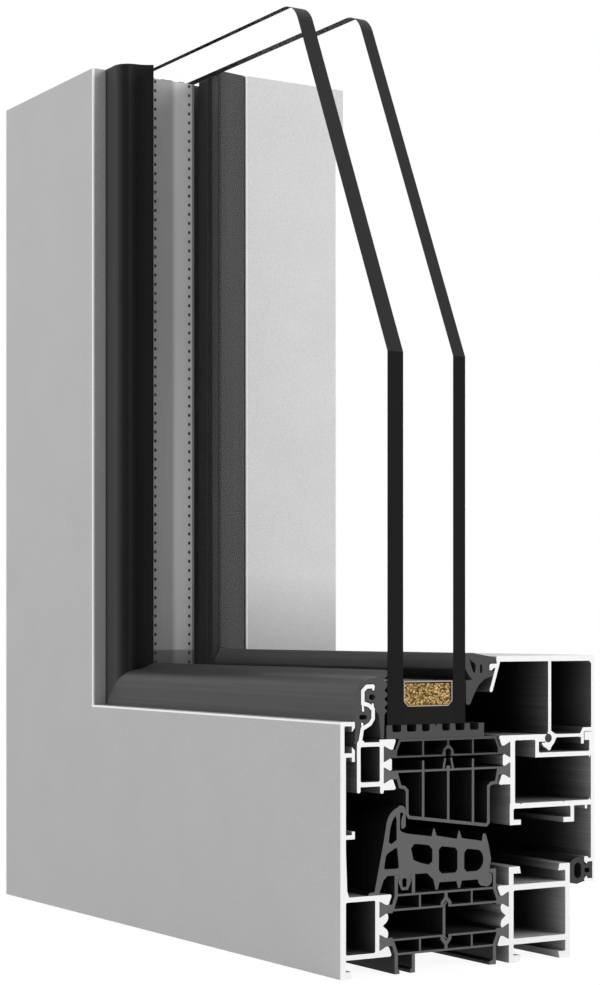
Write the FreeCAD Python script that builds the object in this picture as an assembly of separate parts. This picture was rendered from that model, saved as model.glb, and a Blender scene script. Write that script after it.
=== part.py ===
# Corner sample of a thermally broken aluminium window: a bottom member with its cut end
# and a mitred upright member, with sash, bead, gaskets and double glazing.
# Every section is drawn once in (y, z): y runs from the outer face to the room, and z from
# the outer edge of the frame towards the glass. The bottom member is that section run along
# x from the mitre to the cut, and the upright member is its mirror image across the mitre.
import FreeCAD, Part
import math
import os

Vector = FreeCAD.Vector
SECTION = Part.Plane(Vector(0, 0, 0), Vector(1, 0, 0))

# Whole sample
BOTTOM_LENGTH = 210.0       # back of the upright member to the cut end
UPRIGHT_HEIGHT = 266.0      # floor to the cut top of the upright member
FRAME_DEPTH = 75.0          # outer face to room face of the fixed frame
SASH_PROUD = 8.7            # room face of the sash beyond that of the frame

# Polyamide strip heads and the toothed rails that grip them
HEAD_FOOT = 4.0             # width of the dovetail at the shell
HEAD_NECK = 2.2             # width where it leaves the rail
HEAD_DEPTH = 2.1            # depth of the dovetail
HEAD_CLEARANCE = 0.05       # all round a head in its groove
TOOTH_REACH = 3.8           # rail tooth, shell to tip
STRIP_WALL = 0.55           # webs and plates of a strip
STRIP_LEG = 1.0             # upstands and end walls of a strip
WEB_SHARE = 0.2             # a strip's webs from its middle, as a share of its width
CORNER_RADIUS = 0.5         # inner corners of the extruded chambers

# Frame, across its depth and up from its outer edge
FRAME_LEG = 4.85            # feet and upstands beyond the chambers
FRAME_CHAMBER = 16.2        # chambers with their walls, measured up the face
FRAME_OUTER_DEPTH = 12.05   # outer shell, face to the strips
FRAME_INNER_DEPTH = 20.9    # inner shell, strips to the room face
FRAME_HEADS = 8.6           # spacing of the strips' heads
FACE_WALL = 1.7             # wall behind the outer face
CHAMBER_WALL = 1.28         # other walls of the outer shell
INNER_WALL = 1.55           # walls of the inner shells
EDGE_WALL = 1.1             # return at the glazing edge
EDGE_REACH = 4.45           # depth of that return
EDGE_LIP = 0.9              # lips of the groove behind the glazing edge
EDGE_GROOVE = 6.95          # height of that groove
EDGE_SKIN = 1.25            # face behind that groove
EDGE_RADIUS = 0.6           # rounded edge of the outer face at the glazing
HOOK_HEIGHT = 36.0          # hook on the back of the face, above the outer edge
LIP_REACH = 3.6             # lips of the inner shell's grooves
LIP_WALL = 1.85

# Sash
SASH_LIFT = 41.95           # middle of the frame's strips to middle of the sash's strips
SASH_HEADS = 5.55           # spacing of the strips' heads
SASH_SETBACK = 5.1          # outer face of the frame to the sash
FACE_RISE = 11.4            # middle of the sash's strips to the glazing edge of the outer face
SASH_OUTER_DEPTH = 8.3      # outer shell, face to the strips
SASH_INNER_DEPTH = 29.1     # inner shell, strips to the room face
SASH_RAIL_RISE = 6.6        # middle of the strips to the top of the shells
SASH_WALL = 1.1             # walls of the outer shell
SASH_ROOM_WALL = 1.25       # wall behind the room face
FITTING_WALL = 1.38         # walls round the chamber and the fittings groove
FITTING_GROOVE = 19.65      # width of the fittings groove
GROOVE_DROP = 4.42          # depth of the fittings groove below the chamber's wall
LEDGE = 2.0                 # ledge that the bead hooks under
HOOK_WALL = 1.05            # curled hook that holds the outer glazing gasket
HOOK_CLEARANCE = 0.22       # that gasket's groove round the hook

# Glazing
GLASS_SETBACK = 14.55       # outer face of the frame to the outer pane
OUTER_PANE = 5.0
PANE_GAP = 16.0
INNER_PANE = 4.0
SETTING_HEIGHT = 3.7        # toothed strip under the glass
SETTING_BASE = 1.75         # solid part of that strip
PANE_DROP = 1.0             # top of the upright member to the panes' top
GLASS_STEP = 162.8          # height of the pane's upright cut edge
GLASS_SLOPE_RUN = 46.9      # length lost between that height and the top
GLASS_APEX_RADIUS = 8.5     # rounded corner where that slope meets the top
SPACER_HEIGHT = 6.7
SPACER_WALL = 0.4
SPACER_CHAMFER = 1.35
SPACER_RISE = 4.7           # glass edge to the spacer in the bottom member
SPACER_LEAN = 3.3           # upright leg of the spacer nearer to the glass edge than that
SPACER_DROP = 3.4           # top of the upright member to the spacer's cut end
SEALANT_FILM = 0.2          # sealant between the spacer and each pane

# Bead
BEAD_HEIGHT = 21.5          # sash top to bead top
BEAD_WALL = 1.0
BEAD_ROOM_WALL = 1.15       # wall behind the bead's room face
BEAD_TOP_WALL = 1.55
BEAD_WEB = 16.2             # middle web, from the room face
BEAD_STEP = 0.3             # bead above the sash along the room face
BEAD_RADIUS = 0.4           # rounded upper edges of the bead
BEAD_SETBACK = 10.35        # inner pane to the bead
CORD_RADIUS = 1.15          # round cord between bead and sash
SEAT = 0.05                 # clearance where rubber or a clip seats

# Planes and levels that follow from the sizes above
SASH_FACE = FRAME_DEPTH + SASH_PROUD
FRAME_BASE = FRAME_LEG
FRAME_TOP = FRAME_BASE + FRAME_CHAMBER
FRAME_MID = (FRAME_BASE + FRAME_TOP) / 2
FRAME_STRIPS = (FRAME_OUTER_DEPTH, FRAME_DEPTH - FRAME_INNER_DEPTH)
SASH_MID = FRAME_MID + SASH_LIFT
FACE_WIDTH = SASH_MID + FACE_RISE
SASH_TOP = SASH_MID + SASH_RAIL_RISE
SASH_STRIPS = (SASH_SETBACK + SASH_OUTER_DEPTH, SASH_FACE - SASH_INNER_DEPTH)
GLASS_EDGE = SASH_TOP + SETTING_HEIGHT
GAP_FACE = GLASS_SETBACK + OUTER_PANE
INNER_GLASS = GAP_FACE + PANE_GAP
GLASS_BACK = INNER_GLASS + INNER_PANE
BEAD_TOP = SASH_TOP + BEAD_HEIGHT
SASH_FLOOR = SASH_MID - 11.9
FLANGE_END = FRAME_TOP - 0.65


def vec(point):
    return Vector(0, point[0], point[1])


def outline(*path):
    """Closed face. A pair of points in the path is an arc through the first to the second."""
    edges = []
    here = path[0]
    for step in path[1:] + path[:1]:
        if isinstance(step[0], tuple):
            edges.append(Part.Arc(vec(here), vec(step[0]), vec(step[1])).toShape())
            here = step[1]
        elif step != here:
            edges.append(Part.LineSegment(vec(here), vec(step)).toShape())
            here = step
    return Part.Face(SECTION, Part.Wire(edges))


def rect(y0, z0, y1, z1):
    return outline((y0, z0), (y1, z0), (y1, z1), (y0, z1))


def disc(y, z, radius):
    return outline((y - radius, z), ((y, z + radius), (y + radius, z)), ((y, z - radius), (y - radius, z)))


def union(shapes):
    """One face from overlapping faces."""
    faces = [face for shape in shapes for face in shape.Faces]
    return faces[0].fuse(faces[1:]).removeSplitter()


def wall(thickness, *points, tips=False):
    """Bent wall along a centre line, with mitred bends; tips rounds its two ends."""
    half = thickness / 2
    near, far = [], []
    for i, (y, z) in enumerate(points):
        before = points[max(i - 1, 0)]
        after = points[min(i + 1, len(points) - 1)]
        runs = [direction(*run) for run in ((before, (y, z)), ((y, z), after)) if run[0] != run[1]]
        along = (sum(r[0] for r in runs), sum(r[1] for r in runs))
        across = math.hypot(*along)
        normal = (-along[1] / across, along[0] / across)
        offset = half / (normal[1] * runs[0][0] - normal[0] * runs[0][1])
        near.append((y + normal[0] * offset, z + normal[1] * offset))
        far.append((y - normal[0] * offset, z - normal[1] * offset))
    if not tips:
        return outline(*near, *reversed(far))
    first, last = direction(points[1], points[0]), direction(points[-2], points[-1])
    start = (points[0][0] + first[0] * half, points[0][1] + first[1] * half)
    end = (points[-1][0] + last[0] * half, points[-1][1] + last[1] * half)
    return outline(*near, (end, far[-1]), *reversed(far[:-1]), (start, near[0]))


def direction(start, end):
    """Unit step from start to end."""
    dy, dz = end[0] - start[0], end[1] - start[1]
    length = math.hypot(dy, dz)
    return dy / length, dz / length


def moved(points, y, z):
    """Outline steps drawn about a datum, moved to it."""
    steps = []
    for step in points:
        if isinstance(step[0], tuple):
            steps.append(tuple((a + y, b + z) for a, b in step))
        else:
            steps.append((step[0] + y, step[1] + z))
    return outline(*steps)


def corner_fill(y, z, dy, dz):
    """Rounding of an inner corner that opens towards dy, dz."""
    radius, back = CORNER_RADIUS, CORNER_RADIUS / 2
    bulge = radius * (1 - math.sqrt(0.5))
    return outline((y - dy * back, z - dz * back), (y + dy * radius, z - dz * back), (y + dy * radius, z),
                   ((y + dy * bulge, z + dz * bulge), (y, z + dz * radius)), (y - dy * back, z + dz * radius))


def chamber_corners(y0, z0, y1, z1):
    """Rounded inner corners of a rectangular chamber."""
    return [corner_fill(y, z, dy, dz) for y, dy in ((y0, 1), (y1, -1)) for z, dz in ((z0, 1), (z1, -1))]


def dovetail(face, side, centre, grow=0.0):
    """Strip head and neck that leave a shell's face towards side."""
    start = face + side * (HEAD_CLEARANCE - grow)
    foot = HEAD_FOOT / 2 + grow
    neck = HEAD_NECK / 2 + grow
    lands = [(start, foot), (start + side * 0.35, foot),
             (face + side * HEAD_DEPTH, neck), (face + side * (TOOTH_REACH + 0.4), neck)]
    return outline(*[(y, centre + h) for y, h in lands],
                   *[(y, centre - h) for y, h in reversed(lands)])


def tooth(face, side, centre, up, rise):
    """Outer tooth of a rail, beyond the head at centre and as high as rise above it."""
    corners = [(-0.4, rise), (TOOTH_REACH - 0.35, rise), (TOOTH_REACH, rise - 0.4),
               (TOOTH_REACH - 0.85, 1.25), (HEAD_DEPTH, 0.8), (-0.4, 0.8)]
    return outline(*[(face + side * d, centre + up * h) for d, h in corners])


def rail(face, side, middle, heads, half_height, between):
    """Rail on a shell's face: two outer teeth and what lies between the heads."""
    low, high = middle - heads / 2, middle + heads / 2
    rise = half_height - heads / 2
    solid = union([tooth(face, side, high, 1, rise), tooth(face, side, low, -1, rise), between])
    return solid.cut([dovetail(face, side, z, HEAD_CLEARANCE) for z in (low, high)])


def lobes(face, side, middle):
    """Two rounded lobes between the heads of a frame rail."""
    def at(d, h):
        return (face + side * d, middle + h)
    return outline(at(-0.4, -3.4), at(-0.4, 3.4), at(2.3, 3.4), (at(2.75, 2.1), at(2.2, 0.9)),
                   at(1.05, 0), at(2.2, -0.9), (at(2.75, -2.1), at(2.3, -3.4)))


def short_tooth(face, side, middle):
    """Chamfered tooth between the heads of a sash rail."""
    corners = [(-0.4, 1.9), (2.0, 1.65), (2.55, 1.3), (2.55, -1.3), (2.0, -1.65), (-0.4, -1.9)]
    return outline(*[(face + side * d, middle + h) for d, h in corners])


def frame_outer_shell():
    box_face = FRAME_OUTER_DEPTH
    groove = FACE_WIDTH - EDGE_WALL - EDGE_GROOVE
    lip = EDGE_REACH - EDGE_LIP
    top = FACE_WIDTH - EDGE_WALL
    crown, slant = FACE_WIDTH - EDGE_RADIUS, EDGE_RADIUS * math.sqrt(0.5)
    hook = HOOK_HEIGHT
    return union([
        rect(0, 0, FACE_WALL, groove),
        rect(0, groove, EDGE_SKIN, top + 0.2),
        outline((0, top), (0, crown), ((EDGE_RADIUS - slant, crown + slant), (EDGE_RADIUS, FACE_WIDTH)),
                (EDGE_REACH, FACE_WIDTH), (EDGE_REACH, top)),
        outline((lip, top), (lip, top - 1.5), (EDGE_REACH, top - 0.4), (EDGE_REACH, top)),
        rect(0, groove - EDGE_WALL, EDGE_REACH, groove),
        outline((lip, groove - 2.25), (EDGE_REACH, groove - 2.25), (EDGE_REACH, groove + 0.7),
                (lip, groove + 1.55)),
        rect(0, hook, EDGE_REACH, hook + EDGE_WALL),
        rect(EDGE_REACH - EDGE_LIP, hook, EDGE_REACH, hook + 2.0),
        rect(0, FRAME_TOP - CHAMBER_WALL, box_face, FRAME_TOP),
        rect(0, FRAME_BASE, box_face, FRAME_BASE + CHAMBER_WALL),
        rect(box_face - CHAMBER_WALL, FRAME_BASE, box_face, FRAME_TOP),
        outline((FACE_WALL, FRAME_TOP), (FACE_WALL + 1.0, FRAME_TOP),
                (FACE_WALL + 0.4, FRAME_TOP + 1.6), (FACE_WALL, FRAME_TOP + 12)),
        rect(0, 0, 2 * FACE_WALL, LIP_WALL),
        rail(box_face, 1, FRAME_MID, FRAME_HEADS, FRAME_CHAMBER / 2, lobes(box_face, 1, FRAME_MID)),
        *chamber_corners(FACE_WALL, FRAME_BASE + CHAMBER_WALL, box_face - CHAMBER_WALL,
                         FRAME_TOP - CHAMBER_WALL),
    ])


def frame_inner_shell():
    left = FRAME_STRIPS[1]
    right = FRAME_DEPTH
    upper = FRAME_TOP + FRAME_LEG
    shell = [
        rect(left, 0, left + INNER_WALL, upper),
        rect(right - INNER_WALL, 0, right, upper),
        rect(left, FRAME_TOP - INNER_WALL, right, FRAME_TOP),
        rect(left, FRAME_BASE, right, FRAME_BASE + INNER_WALL),
        rail(left, -1, FRAME_MID, FRAME_HEADS, FRAME_CHAMBER / 2, lobes(left, -1, FRAME_MID)),
        *chamber_corners(left + INNER_WALL, FRAME_BASE + INNER_WALL, right - INNER_WALL,
                         FRAME_TOP - INNER_WALL),
    ]
    for edge, inward in ((left, 1), (right, -1)):
        tip = edge + inward * LIP_REACH
        for end, back in ((upper, -1), (0, 1)):
            shell.append(outline((edge, end), (tip, end), (tip + inward * 0.4, end + back * LIP_WALL),
                                 (edge, end + back * LIP_WALL)))
    return union(shell)


def strip_heads(strips, height):
    return [dovetail(strips[0], 1, height), dovetail(strips[1], -1, height)]


FRAME_ARCH = sum(FRAME_STRIPS) / 2 + 0.22   # arch that takes the divider
FRAME_WEB_STEP = WEB_SHARE * (FRAME_STRIPS[1] - FRAME_STRIPS[0])
UPSTANDS = (FRAME_STRIPS[0] + 5.3, FRAME_STRIPS[0] + 10.75, FRAME_STRIPS[1] - 4.85)
ARCH_MOUTH = 0.75                           # half width of the arch's mouth
PLATE_IN, PLATE_OUT = 3.9, 7.7              # a frame strip's two plates, from the mid-plane
UPSTAND_END = FRAME_CHAMBER / 2 + FRAME_LEG - 0.05


def frame_strip(up):
    """Hollow strip across the frame; up is +1 for the upper strip and -1 for its mirror image."""
    left, right = FRAME_STRIPS

    def at(y, h):
        return (y, FRAME_MID + up * h)

    parts = strip_heads(FRAME_STRIPS, FRAME_MID + up * FRAME_HEADS / 2)
    for start, end in ((left + 4.0, FRAME_ARCH - ARCH_MOUTH), (FRAME_ARCH + ARCH_MOUTH, right - 3.4)):
        parts.append(wall(STRIP_WALL, at(start, PLATE_IN), at(end, PLATE_IN)))
    parts.append(wall(STRIP_WALL, at(UPSTANDS[0], PLATE_OUT), at(UPSTANDS[2], PLATE_OUT)))
    parts.append(wall(STRIP_LEG, at(left + 4.15, 4.3), at(UPSTANDS[0], PLATE_OUT - 0.2), at(UPSTANDS[0], 9)))
    parts.append(wall(STRIP_LEG, at(right - 3.5, 4.3), at(UPSTANDS[2], PLATE_OUT - 0.2), at(UPSTANDS[2], 9)))
    for y in (FRAME_ARCH - FRAME_WEB_STEP, FRAME_ARCH + FRAME_WEB_STEP):
        parts.append(wall(STRIP_WALL, at(y, PLATE_IN), at(y, PLATE_OUT)))
    leg = ARCH_MOUTH + STRIP_LEG / 2
    arch = [(-leg, PLATE_IN), (-leg, 4.7), (0, 6.15), (leg, 4.7), (leg, PLATE_IN)]
    parts.append(wall(STRIP_LEG, *[at(FRAME_ARCH + y, h) for y, h in arch]))
    parts.append(wall(STRIP_LEG, at(FRAME_ARCH, 6.15), at(FRAME_ARCH, PLATE_OUT)))
    for y, barb, reach in zip(UPSTANDS, (1, -1, -1), (0.55, 0.55, 1.25)):
        inner = y + barb * STRIP_LEG / 2
        tip = inner + barb * reach
        parts.append(wall(STRIP_LEG, at(y, PLATE_OUT), at(y, UPSTAND_END)))
        parts.append(outline(at(y, UPSTAND_END), at(tip, UPSTAND_END), at(tip, UPSTAND_END - 0.8),
                             at(inner, UPSTAND_END - 1.4), at(y, UPSTAND_END - 1.4)))
    return union(parts)


def frame_divider():
    """Thin web clipped between the arches of the frame's two strips."""
    left = FRAME_ARCH - ARCH_MOUTH
    half = PLATE_IN - STRIP_WALL / 2 - SEAT
    tongue = PLATE_IN + 0.4
    parts = [rect(left - 0.35, FRAME_MID - half, left + 0.5, FRAME_MID + half),
             rect(left + SEAT, FRAME_MID - tongue, left + 0.5, FRAME_MID + tongue)]
    for up in (-1, 1):
        parts.append(wall(0.4, (left + 0.3, FRAME_MID + up * tongue),
                          (left + 0.8, FRAME_MID + up * (tongue + 0.4)), tips=True))
    return union(parts)


SASH_ARCH = sum(SASH_STRIPS) / 2            # arch in the middle of the sash strips
SASH_WEB_STEP = 8.1                         # its webs on each side of that
SASH_WEBS = (SASH_ARCH - SASH_WEB_STEP, SASH_ARCH, SASH_ARCH + SASH_WEB_STEP)
SASH_PLATE = 0.7                            # top plate of the sash's upper strip


def sash_upper_strip():
    left, right = SASH_STRIPS
    low, high = SASH_MID + 1.9, SASH_TOP - SASH_PLATE / 2
    parts = strip_heads(SASH_STRIPS, SASH_MID + SASH_HEADS / 2)
    for start, end in ((left + 4.0, SASH_ARCH - 1.4), (SASH_ARCH + 1.4, right - 4.0)):
        parts.append(wall(0.45, (start, low), (end, low)))
    parts.append(wall(SASH_PLATE, (left + 3.75, low + 1.3), (left + 5.1, high), (right - 5.1, high),
                      (right - 3.75, low + 1.3)))
    for face, side in ((left, 1), (right, -1)):
        parts.append(rect(face + side * 3.6, low, face + side * 4.1, low + 1.3))
    for y in (SASH_WEBS[0], SASH_WEBS[2]):
        parts.append(wall(STRIP_WALL, (y, low), (y, high)))
    arch = [(-1.95, -0.22), (-1.85, 0.6), (-1.45, 1.7), (-0.6, 2.5), (0, 2.8), (0.6, 2.5), (1.45, 1.7),
            (1.85, 0.6), (1.95, -0.22)]
    parts.append(moved(arch, SASH_ARCH, low))
    parts.append(wall(STRIP_WALL, (SASH_ARCH, low + 2.5), (SASH_ARCH, high)))
    keyhole = [disc(SASH_ARCH, low + 0.9, 0.95), rect(SASH_ARCH - 0.8, low - 1, SASH_ARCH + 0.8, low + 0.9)]
    return union(parts).cut(keyhole)


STRIP_FLOOR = SASH_MID - 13.95       # floor of the sash's deep strip at its outer wall
FLOOR_SLOPE = 0.128                  # fall of that floor towards the room
DEEP_WALLS = (SASH_STRIPS[0] + 7.4, SASH_STRIPS[1] - 7.4)
DEEP_WALL = 0.85                     # outer walls and floor of that strip
HEEL = 0.7                           # slanted corner between that floor and each outer wall


def floor_level(y):
    """Centre line of the deep strip's sloping floor."""
    return STRIP_FLOOR - FLOOR_SLOPE * (y - DEEP_WALLS[0])


def sash_lower_strip():
    """Deep chambered strip under the sash, with a floor that slopes to the room side."""
    left, right = SASH_STRIPS
    plate = SASH_MID - 1.95
    parts = strip_heads(SASH_STRIPS, SASH_MID - SASH_HEADS / 2)
    parts.append(wall(STRIP_WALL, (left + 3.9, plate), (right - 3.9, plate)))
    shell = []
    for face, side, deep, out in ((left, 1, DEEP_WALLS[0], 5.2), (right, -1, DEEP_WALLS[1], 4.8)):
        heel = deep + side * HEEL
        shoulder = [(face + side * 3.9, plate + 0.1), (face + side * out, plate - 3.95),
                    (deep - side * 0.9, plate - 4.15), (deep, plate - 5.0),
                    (deep, floor_level(deep) + HEEL), (heel, floor_level(heel))]
        shell += shoulder[::side]
    parts.append(wall(DEEP_WALL, *shell))
    for y in SASH_WEBS:
        parts.append(wall(0.75, (y, plate), (y, floor_level(y))))
    for y in (SASH_WEBS[0], SASH_WEBS[2]):
        parts.append(wall(0.65, (y, plate), (y, plate + 2.4), tips=True))
    for side in (-1, 1):
        parts.append(wall(0.6, (SASH_ARCH + side * 1.6, plate), (SASH_ARCH + side * 0.95, plate + 3.1)))
    parts.append(disc(SASH_ARCH, plate + 0.5, 0.65))
    return union(parts)


# Curled hook of the sash's outer shell, as a centre line from the shell's top corner
HOOK_LINE = ((0.85, -0.6), (1.65, 3.4), (4.1, 4.7), (5.0, 6.0), (5.0, 8.4), (3.7, 9.5),
             (1.8, 10.1), (1.8, 13.2), (3.0, 14.35), (5.2, 14.4))
HOOK_BARBS = (((1.8, 3.7), (1.6, 4.75)), ((1.8, 9.9), (1.9, 8.2)), ((5.0, 8.6), (4.85, 9.7)),
              ((5.2, 14.4), (5.05, 13.6)))


def gasket_hook(grow=0.0):
    """The curled hook and its barbs; grow widens it all round."""
    y, z = SASH_SETBACK, SASH_MID + 6.1
    parts = [wall(HOOK_WALL + 2 * grow, *[(y + a, z + b) for a, b in HOOK_LINE])]
    for root, tip in HOOK_BARBS:
        parts.append(wall(0.65 + 2 * grow, (y + root[0], z + root[1]), (y + tip[0], z + tip[1]), tips=True))
    return union(parts)


def sash_outer_shell():
    left, right = SASH_SETBACK, SASH_STRIPS[0]
    top = SASH_MID + 5.95
    base = SASH_MID - 5.55
    inner = right - SASH_WALL / 2
    return union([
        wall(SASH_WALL, (left + SASH_WALL / 2, top - 0.6), (left + SASH_WALL / 2, base - 1.0), tips=True),
        rect(left, top - 1.0, left + SASH_WALL, top),
        rect(left, base, right, base + SASH_WALL + 0.1),
        rect(right - SASH_WALL - 0.1, base, right, top),
        wall(SASH_WALL, (inner, base + 1), (inner, base - 1.4), tips=True),
        rect(left, top - SASH_WALL, right, top),
        rect(right - SASH_WALL - 0.2, top - SASH_WALL, right, SASH_TOP),
        outline((left, top - 1), (left + 2.4, top - 1), (left + 2.4, top), (left + 1.9, top + 0.6),
                (left + 0.25, top + 0.45)),
        rail(right, 1, SASH_MID, SASH_HEADS, SASH_RAIL_RISE, short_tooth(right, 1, SASH_MID)),
        *chamber_corners(left + SASH_WALL, base + SASH_WALL + 0.1, right - SASH_WALL - 0.1, top - SASH_WALL),
        gasket_hook(),
    ])


def cord_centre():
    return (SASH_FACE - 16.15, SASH_TOP - 1.1)


def flange_groove():
    """Room side flange with the groove of the rebate gasket at its end."""
    face = SASH_FACE
    base, top = FLANGE_END, FLANGE_END + 6.95
    mouth = face - 3.6
    slot = face - 0.75
    return [
        rect(slot, base, face, top),
        rect(face - SASH_ROOM_WALL, top - 0.5, face, SASH_TOP + 0.15),
        outline((mouth, base), (face, base), (face, base + 0.8), (mouth + 1.2, base + 0.85),
                (mouth + 0.7, base + 1.65), (mouth, base + 0.9)),
        outline((mouth, top), (mouth, top - 1.3), (mouth + 0.8, top - 2.05), (mouth + 1.2, top - 1.45),
                (face, top - 1.45), (face, top - 0.5), (mouth + 1.5, top - 0.5), (mouth + 1.1, top)),
    ]


def sash_inner_shell():
    left, right = SASH_STRIPS[1], SASH_FACE
    top = SASH_TOP
    floor = SASH_FLOOR
    shelf, shelf_top = SASH_MID + 0.35, SASH_MID + 1.6
    post = right - 19.42
    post_left = post - 1.2
    groove_left = left + 1.05
    groove_right = groove_left + FITTING_GROOVE
    room_wall = right - 1.8
    groove_low = floor - FITTING_WALL - GROOVE_DROP
    cord_y, cord_z = cord_centre()
    parts = [
        rect(left, floor - 0.5, left + INNER_WALL, top),
        rect(left - 0.2, groove_low, groove_left, floor),
        rect(left - 0.2, groove_low, groove_left + 2.5, groove_low + 1.35),
        rect(left - 0.2, floor - FITTING_WALL, right, floor),
        rect(left, top - 1.4, post, top),
        rect(post_left, top - LEDGE, cord_y, top),
        rect(post_left, shelf, post, top),
        rect(post_left, shelf, right, shelf_top),
        rect(groove_right, groove_low, groove_right + 1.2, floor),
        rect(groove_right - 2.5, groove_low, groove_right + 1.2, groove_low + 1.35),
        rect(right - 3.35, floor - FITTING_WALL - 1.0, right - 2.6, floor),
        rect(room_wall, shelf, right, top),
        rect(right - 3.5, top - 1.95, right, top + BEAD_STEP),
        rail(left, -1, SASH_MID, SASH_HEADS, SASH_RAIL_RISE, short_tooth(left, -1, SASH_MID)),
    ] + flange_groove()
    wall_left = left + INNER_WALL
    parts += [corner_fill(*corner) for corner in (
        (wall_left, floor, 1, 1), (room_wall, floor, -1, 1), (room_wall, shelf, -1, -1),
        (wall_left, top - 1.4, 1, -1), (post_left, top - 1.4, -1, -1),
        (post, shelf_top, 1, 1), (room_wall, shelf_top, -1, 1),
        (groove_left, floor - FITTING_WALL, 1, -1), (groove_right, floor - FITTING_WALL, -1, -1))]
    screw_lines = [moved([(-0.35, 0.01), (0, -0.3), (0.35, 0.01)], y, floor)
                   for y in (groove_left + 2.5, groove_right - 2.5)]
    return union(parts).cut([disc(cord_y, cord_z, CORD_RADIUS + SEAT)] + screw_lines)


def bead_leg(grow=0.0):
    """Leaning leg of the bead that the inner gasket clips to; grow widens it all round."""
    left = GLASS_BACK + BEAD_SETBACK
    return wall(BEAD_WALL + 2 * grow, (left + 0.85, BEAD_TOP - 1.2), (left - 1.75, BEAD_TOP - 9.2), tips=True)


def glazing_bead():
    right = SASH_FACE
    web = right - BEAD_WEB
    base = SASH_TOP
    left = GLASS_BACK + BEAD_SETBACK
    cord_y, cord_z = cord_centre()
    step = base + 0.15 + BEAD_STEP
    foot = right - 4.75
    pocket = step + 1.1
    room = right - BEAD_ROOM_WALL
    crown, slant = BEAD_TOP - BEAD_RADIUS, BEAD_RADIUS * math.sqrt(0.5)
    under = BEAD_TOP - BEAD_TOP_WALL
    parts = [
        outline((left, under), (left, crown), ((left + BEAD_RADIUS - slant, crown + slant),
                (left + BEAD_RADIUS, BEAD_TOP)), (right - BEAD_RADIUS, BEAD_TOP),
                ((right - BEAD_RADIUS + slant, crown + slant), (right, crown)), (right, under)),
        outline((room - 0.8, under + 0.1), (room + 0.1, under + 0.1), (room + 0.1, under - 0.8)),
        bead_leg(),
        outline((left - 2.3, BEAD_TOP - 2.6), ((left - 2.15, BEAD_TOP - 2.25), (left - 1.8, BEAD_TOP - 2.1)),
                (left + 0.2, BEAD_TOP - 2.1), (left + 0.2, BEAD_TOP - 3.2), (left - 0.85, BEAD_TOP - 3.2),
                (left - 1.4, BEAD_TOP - 3.75), (left - 2.3, BEAD_TOP - 3.85)),
        rect(web, base + 0.4, web + BEAD_WALL, under + 0.1),
        rect(room, step, right, under + 0.1),
        rect(right - 4.1, step, right, pocket),
        outline((foot - 0.8, base - 0.1), (foot - 0.3, base - 0.1), (right - 4.1, pocket),
                (right - 3.4, step), (foot + 1.0, step), (foot + 1.0, base - 1.2), (foot, base - 1.2),
                (foot - 0.8, base - 0.95)),
        rect(foot, base - 2.9, foot + 1.0, base),
        rect(web + 1.6, base - 0.95, foot + 0.1, base - 0.1),
        outline((web, base + 0.9), (web - 0.2, base + 0.15 + SEAT), (cord_y, cord_z + 0.3),
                (cord_y - 1.1, base - 2.3), (cord_y - 2.2, base - 2.3), (cord_y - 2.2, base - 2.55),
                (cord_y - 1.7, base - 3.3), (cord_y - 0.8, base - 3.75), (cord_y + 0.2, base - 4.5),
                (cord_y + 0.7, base - 4.25), (cord_y + 1.15, base - 3.4), (cord_y + 2.0, base - 2.5),
                (cord_y + 2.6, base - 1.3), (cord_y + 2.9, base - 1.0), (cord_y + 2.9, base),
                (cord_y + 2.4, base), (web + BEAD_WALL, base + 0.9)),
    ]
    sash_ledge = rect(left, base - LEDGE - SEAT, cord_y + 0.1, base + SEAT)
    return union(parts).cut([disc(cord_y, cord_z, CORD_RADIUS + SEAT), sash_ledge])


def bead_cord():
    cord_y, cord_z = cord_centre()
    return disc(cord_y, cord_z, CORD_RADIUS)


# Centre gasket, drawn from its clip: d across to the hold, h above the upstands it sits on.
# It follows the strips' width beyond the clip, and the space up to the sash above its seat.
CLIP = UPSTANDS[0] - STRIP_LEG / 2
HOLD = UPSTANDS[2] - STRIP_LEG / 2
SEAT_LEVEL = FRAME_TOP + FRAME_LEG
CLIP_WIDTH = 5.3            # drawn width that keeps its size
DRAWN_SPAN = 31.9           # drawn distance from clip to hold
DRAWN_RISE = 15.3           # drawn rise from the seat to the sash above the clip
TOP_GAP = 4.25              # sash to the gasket's upper face
DEEP_FACE = DEEP_WALLS[0] - DEEP_WALL / 2 - CLIP


def central_place(step):
    """Section point of one drawn step, or of both points of an arc."""
    if isinstance(step[0], tuple):
        return tuple(central_place(point) for point in step)
    d, h = step
    wide = (HOLD - CLIP - CLIP_WIDTH) / (DRAWN_SPAN - CLIP_WIDTH)
    tall = (floor_level(CLIP) - SEAT_LEVEL) / DRAWN_RISE
    return (CLIP + min(d, CLIP_WIDTH) + max(d - CLIP_WIDTH, 0) * wide,
            SEAT_LEVEL + min(h, 0) + max(h, 0) * tall)


def drawn(*steps):
    return outline(*[central_place(step) for step in steps])


def central_top(d, drop=0.0):
    """Drawn height of the gasket's upper face, or of a line drop under it."""
    return DRAWN_RISE - TOP_GAP - FLOOR_SLOPE * d - drop


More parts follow.
